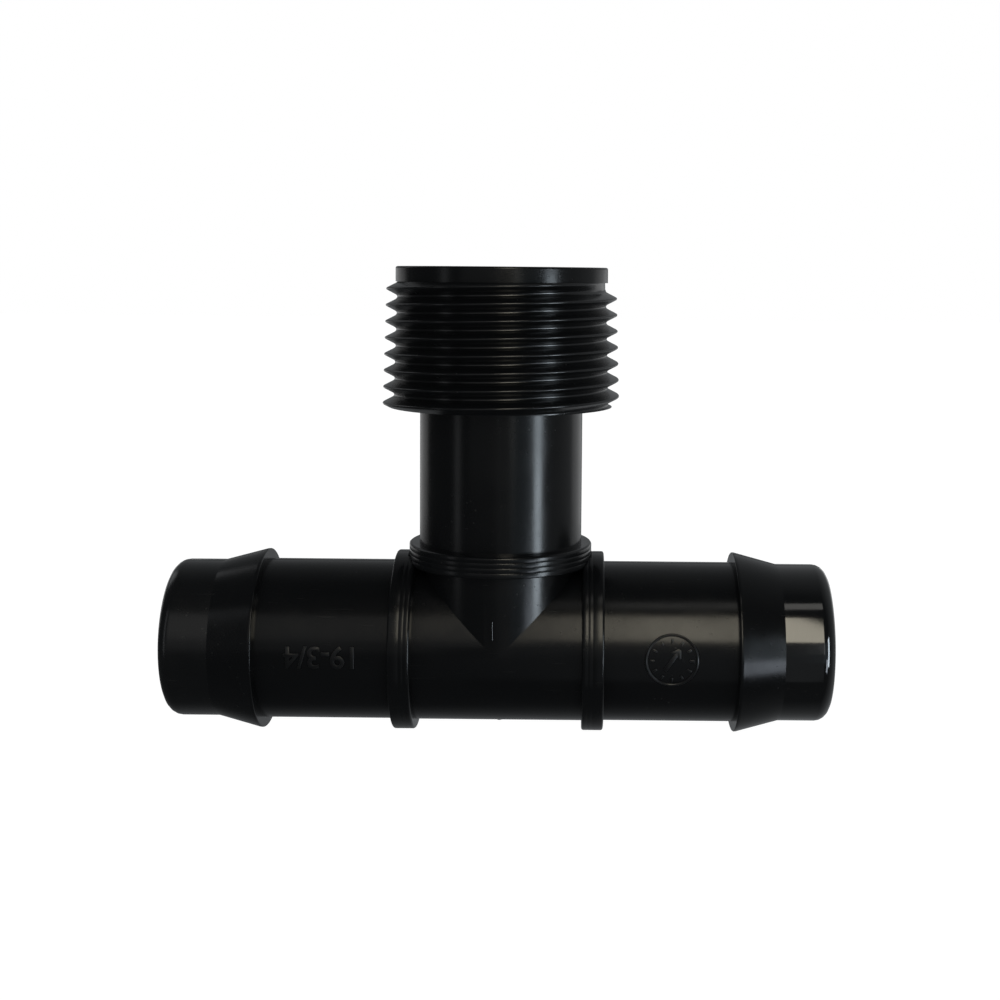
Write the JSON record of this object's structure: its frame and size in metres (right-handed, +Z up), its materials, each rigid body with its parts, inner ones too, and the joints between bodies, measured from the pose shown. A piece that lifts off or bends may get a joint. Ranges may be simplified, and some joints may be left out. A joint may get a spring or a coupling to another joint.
{
  "type": "barbed tee connector",
  "caption": "Moulded plastic irrigation tee with two barbed hose spigots in line, stop collars, and a male pipe thread on the branch.",
  "frame": {"origin": "the point where the axis of the hose line and the axis of the branch cross", "axes": "+X along the hose line, +Z up the branch towards the thread, +Y away from the side with the moulded marks"},
  "size_m": [0.0738, 0.0264, 0.0522],
  "materials": {
    "black_plastic": "satin black moulded polypropylene, slightly glossier on the noses"
  },
  "bodies": {
    "root": {"run_body": "black_plastic", "left_stop_collar": "black_plastic", "right_stop_collar": "black_plastic", "left_hose_shank": "black_plastic", "right_hose_shank": "black_plastic", "left_barb": "black_plastic", "right_barb": "black_plastic", "left_spigot_nose": "black_plastic", "right_spigot_nose": "black_plastic", "branch_collar": "black_plastic", "branch_neck": "black_plastic", "thread_sleeve": "black_plastic", "male_thread": "black_plastic", "thread_pilot": "black_plastic", "gate_vestige": "black_plastic"}
  },
  "joints": []
}
